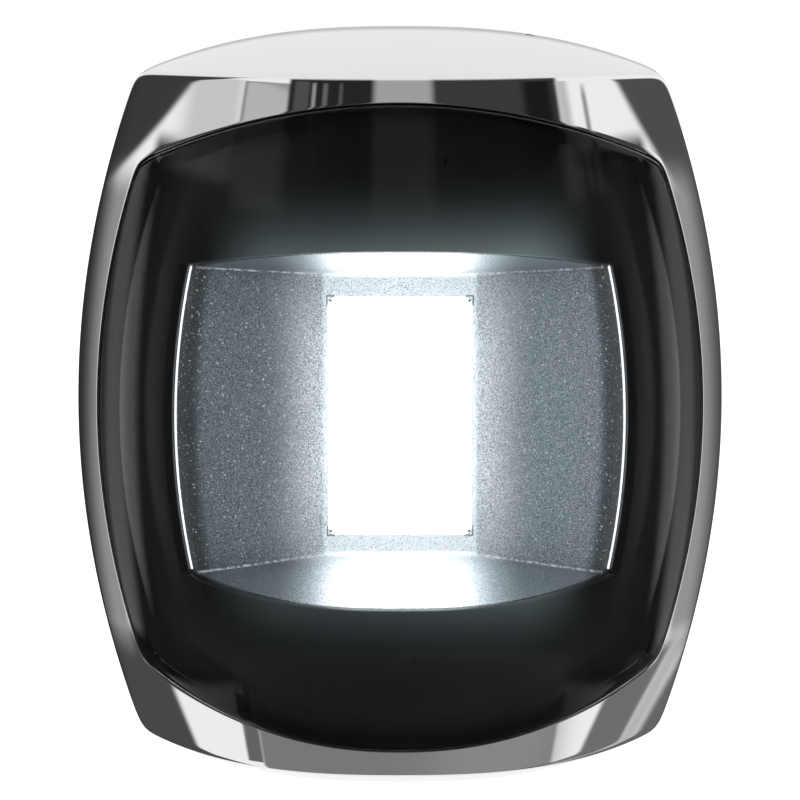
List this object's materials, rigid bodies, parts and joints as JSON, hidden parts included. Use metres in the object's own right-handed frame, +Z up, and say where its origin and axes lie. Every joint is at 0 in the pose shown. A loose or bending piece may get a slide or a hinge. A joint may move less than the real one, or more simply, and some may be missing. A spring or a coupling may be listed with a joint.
{
  "type": "navigation light",
  "caption": "Vertical-mount LED stern light: mirror-polished barrel housing with a wrap-round black-masked clear lens, a flared silver light chamber and a lit rectangular diffuser.",
  "frame": {"origin": "centre of the base's back face, which lies on the wall", "axes": "+Z up along the light's height, -Y straight ahead out of the lens, +X to the right seen from in front"},
  "size_m": [0.071, 0.0386, 0.0828],
  "materials": {
    "polished_steel": "mirror-polished stainless steel",
    "clear_lens": "clear glossy polycarbonate",
    "black_mask": "gloss black moulding",
    "black_moulding": "satin black moulding",
    "black_rubber": "matt rubber",
    "silver_chamber": "satin silver-grey coating",
    "diffuser": "opal diffuser, lit white",
    "aluminium": "bare, lightly brushed",
    "screw_steel": "plain stainless",
    "thermal_pad": "soft matt silicone",
    "white_board": "white solder mask on an aluminium board",
    "green_board": "green solder mask",
    "emitter": "phosphor-filled resin",
    "terminal_plastic": "moulded",
    "black_component": "moulded epoxy",
    "capacitor_can": "drawn can",
    "red_lead": "soft insulation",
    "black_lead": "soft insulation"
  },
  "bodies": {
    "base": {"base_plate": "black_moulding", "wall_gasket": "black_rubber", "cover_seal": "black_rubber", "cable_grommet": "black_rubber", "heat_sink": "aluminium", "heat_sink_screw_1": "screw_steel", "heat_sink_screw_2": "screw_steel", "heat_sink_screw_3": "screw_steel", "heat_sink_screw_4": "screw_steel", "thermal_pad": "thermal_pad", "led_board": "white_board", "led_emitter_1": "emitter", "led_emitter_2": "emitter", "led_emitter_3": "emitter", "led_emitter_4": "emitter", "led_emitter_5": "emitter", "led_emitter_6": "emitter", "reflector": "silver_chamber", "reflector_screw_1": "screw_steel", "reflector_screw_2": "screw_steel", "diffuser": "diffuser", "terminal_block": "terminal_plastic", "driver_board": "green_board", "driver_screw_1": "screw_steel", "driver_screw_2": "screw_steel", "driver_inductor": "black_component", "driver_capacitor": "capacitor_can", "bridge_rectifier": "black_component", "driver_regulator": "black_component", "supply_lead": "red_lead", "return_lead": "black_lead", "led_lead_positive": "red_lead", "led_lead_negative": "black_lead"},
    "cover": {"housing_cover": "polished_steel", "lens": "clear_lens", "lens_seal": "black_rubber", "lens_mask": "black_mask", "retainer_screw_1": "screw_steel", "retainer_screw_2": "screw_steel", "retainer_screw_3": "screw_steel", "retainer_screw_4": "screw_steel"},
    "lock_screw": {"lock_screw": "screw_steel"},
    "terminal_screw_supply": {"terminal_screw_supply": "screw_steel"},
    "terminal_screw_return": {"terminal_screw_return": "screw_steel"}
  },
  "joints": [
    {"name": "cover_pull", "type": "slide", "parent": "base", "child": "cover", "axis": [0, -1, 0], "range_m": [0, 0.05]},
    {"name": "lock_screw_turn", "type": "hinge", "parent": "cover", "child": "lock_screw", "pos_m": [0, -0.007, -0.0395], "axis": [0, 0, -1], "range_deg": [-1080, 0]},
    {"name": "terminal_screw_supply_turn", "type": "hinge", "parent": "base", "child": "terminal_screw_supply", "pos_m": [-0.0225, -0.009, 0.0047], "axis": [0, -1, 0], "range_deg": [0, 1440]},
    {"name": "terminal_screw_return_turn", "type": "hinge", "parent": "base", "child": "terminal_screw_return", "pos_m": [-0.0225, -0.009, -0.0007], "axis": [0, -1, 0], "range_deg": [0, 1440]}
  ]
}
